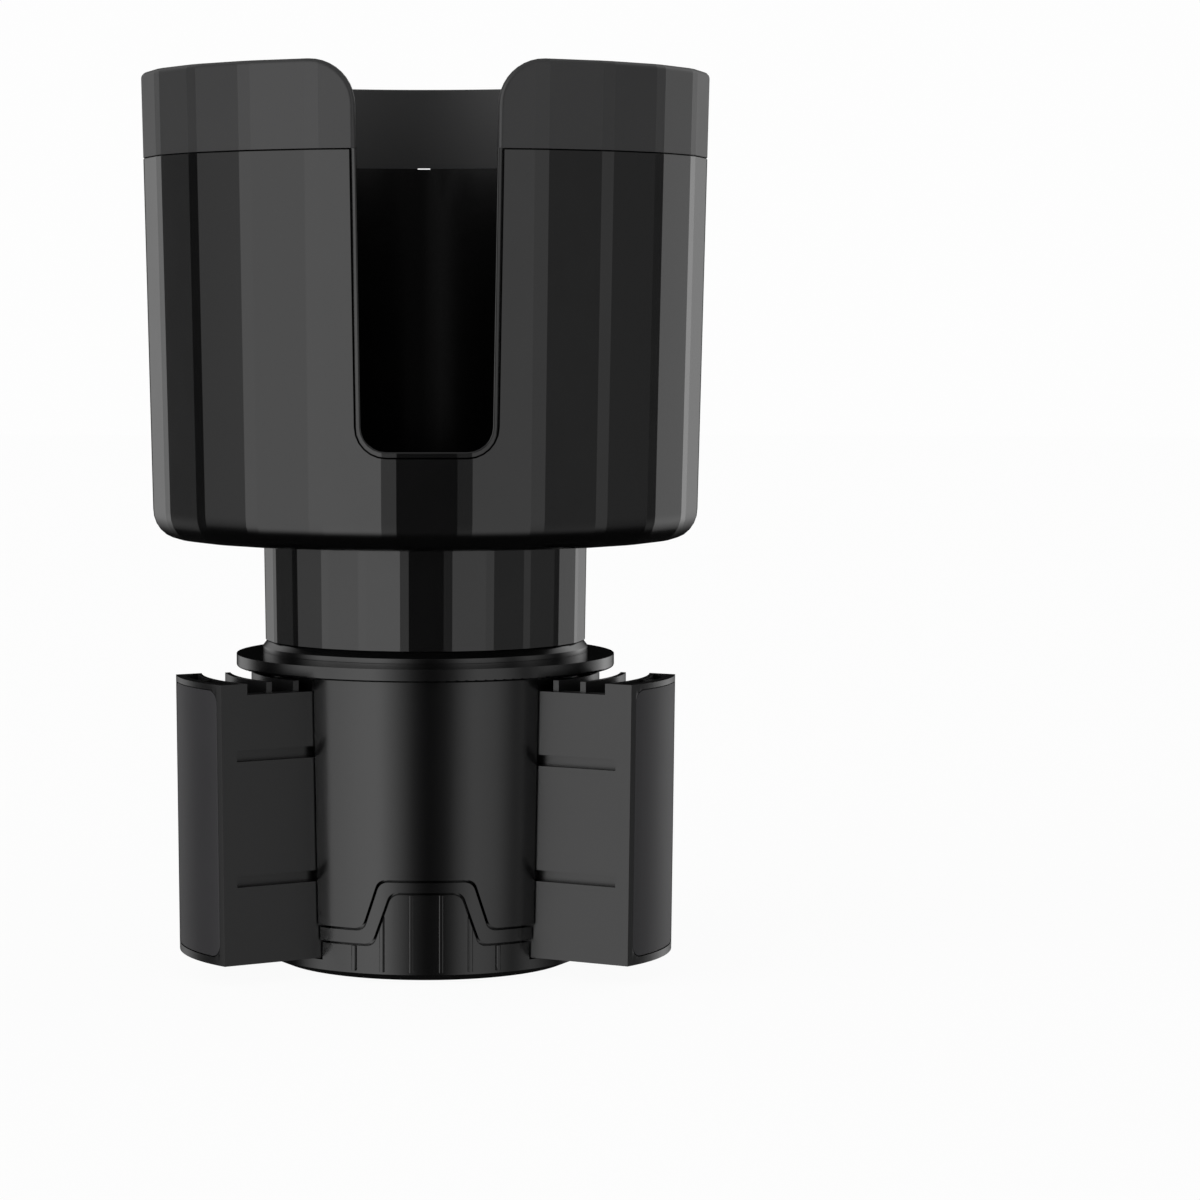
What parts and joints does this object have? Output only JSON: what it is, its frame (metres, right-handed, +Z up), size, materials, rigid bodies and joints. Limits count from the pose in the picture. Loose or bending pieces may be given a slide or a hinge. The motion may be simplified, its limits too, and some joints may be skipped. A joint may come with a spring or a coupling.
{
  "type": "car cup holder expander",
  "caption": "Large faceted cup holder with a front slot and a soft rim with tabs, on a smaller round base whose padded wings slide out when the cup is turned.",
  "frame": {"origin": "centre of the flat underside of the rubber foot, on the axis of the cup and the base", "axes": "+Z up along the axis towards the rim, -Y towards the front, where the slot of the cup is, +X to the right seen from the front"},
  "size_m": [0.1052, 0.1036, 0.1654],
  "materials": {
    "base_plastic": "black moulded plastic, satin",
    "wing_plastic": "black moulded plastic, satin",
    "cup_plastic": "black moulded plastic, semi-gloss with flat facets",
    "band_rubber": "dark grey soft plastic, matte",
    "mat_rubber": "black rubber with raised dots",
    "pad_rubber": "dark grey rubber, matte",
    "foot_rubber": "black rubber, matte",
    "nylon": "natural slippery plastic",
    "steel": "zinc plated steel"
  },
  "bodies": {
    "base": {"base_shell": "base_plastic", "collar_cap": "base_plastic", "bottom_cap": "base_plastic", "foot_pad": "foot_rubber", "base_screws": "steel", "glide_washer": "nylon", "wave_trim_front": "base_plastic", "wave_trim_left": "base_plastic", "wave_trim_right": "base_plastic"},
    "cup": {"cup_body": "cup_plastic", "rim_ring": "band_rubber", "floor_mat": "mat_rubber", "drive_hub": "nylon", "drive_disc": "nylon", "hub_screws": "steel", "lock_washer": "steel", "lock_screw": "steel"},
    "wing_left": {"wing_left": "wing_plastic", "pad_left": "pad_rubber", "cam_pin_left": "steel"},
    "wing_right": {"wing_right": "wing_plastic", "pad_right": "pad_rubber", "cam_pin_right": "steel"},
    "wing_back": {"wing_back": "wing_plastic", "pad_back": "pad_rubber", "cam_pin_back": "steel"}
  },
  "joints": [
    {"name": "cup_twist", "type": "hinge", "parent": "base", "child": "cup", "pos_m": [0, 0, 0.0585], "axis": [0, 0, 1], "range_deg": [0, 150]},
    {"name": "wing_left_slide", "type": "slide", "parent": "base", "child": "wing_left", "axis": [-0.866, -0.5, 0], "range_m": [-0.015, 0]},
    {"name": "wing_right_slide", "type": "slide", "parent": "base", "child": "wing_right", "axis": [0.866, -0.5, 0], "range_m": [-0.015, 0]},
    {"name": "wing_back_slide", "type": "slide", "parent": "base", "child": "wing_back", "axis": [0, 1, 0], "range_m": [-0.015, 0]}
  ],
  "couplings": [
    {"joint": "wing_left_slide", "follows": "cup_twist", "m_per_rad": -0.0057295},
    {"joint": "wing_right_slide", "follows": "cup_twist", "m_per_rad": -0.0057295},
    {"joint": "wing_back_slide", "follows": "cup_twist", "m_per_rad": -0.0057295}
  ]
}
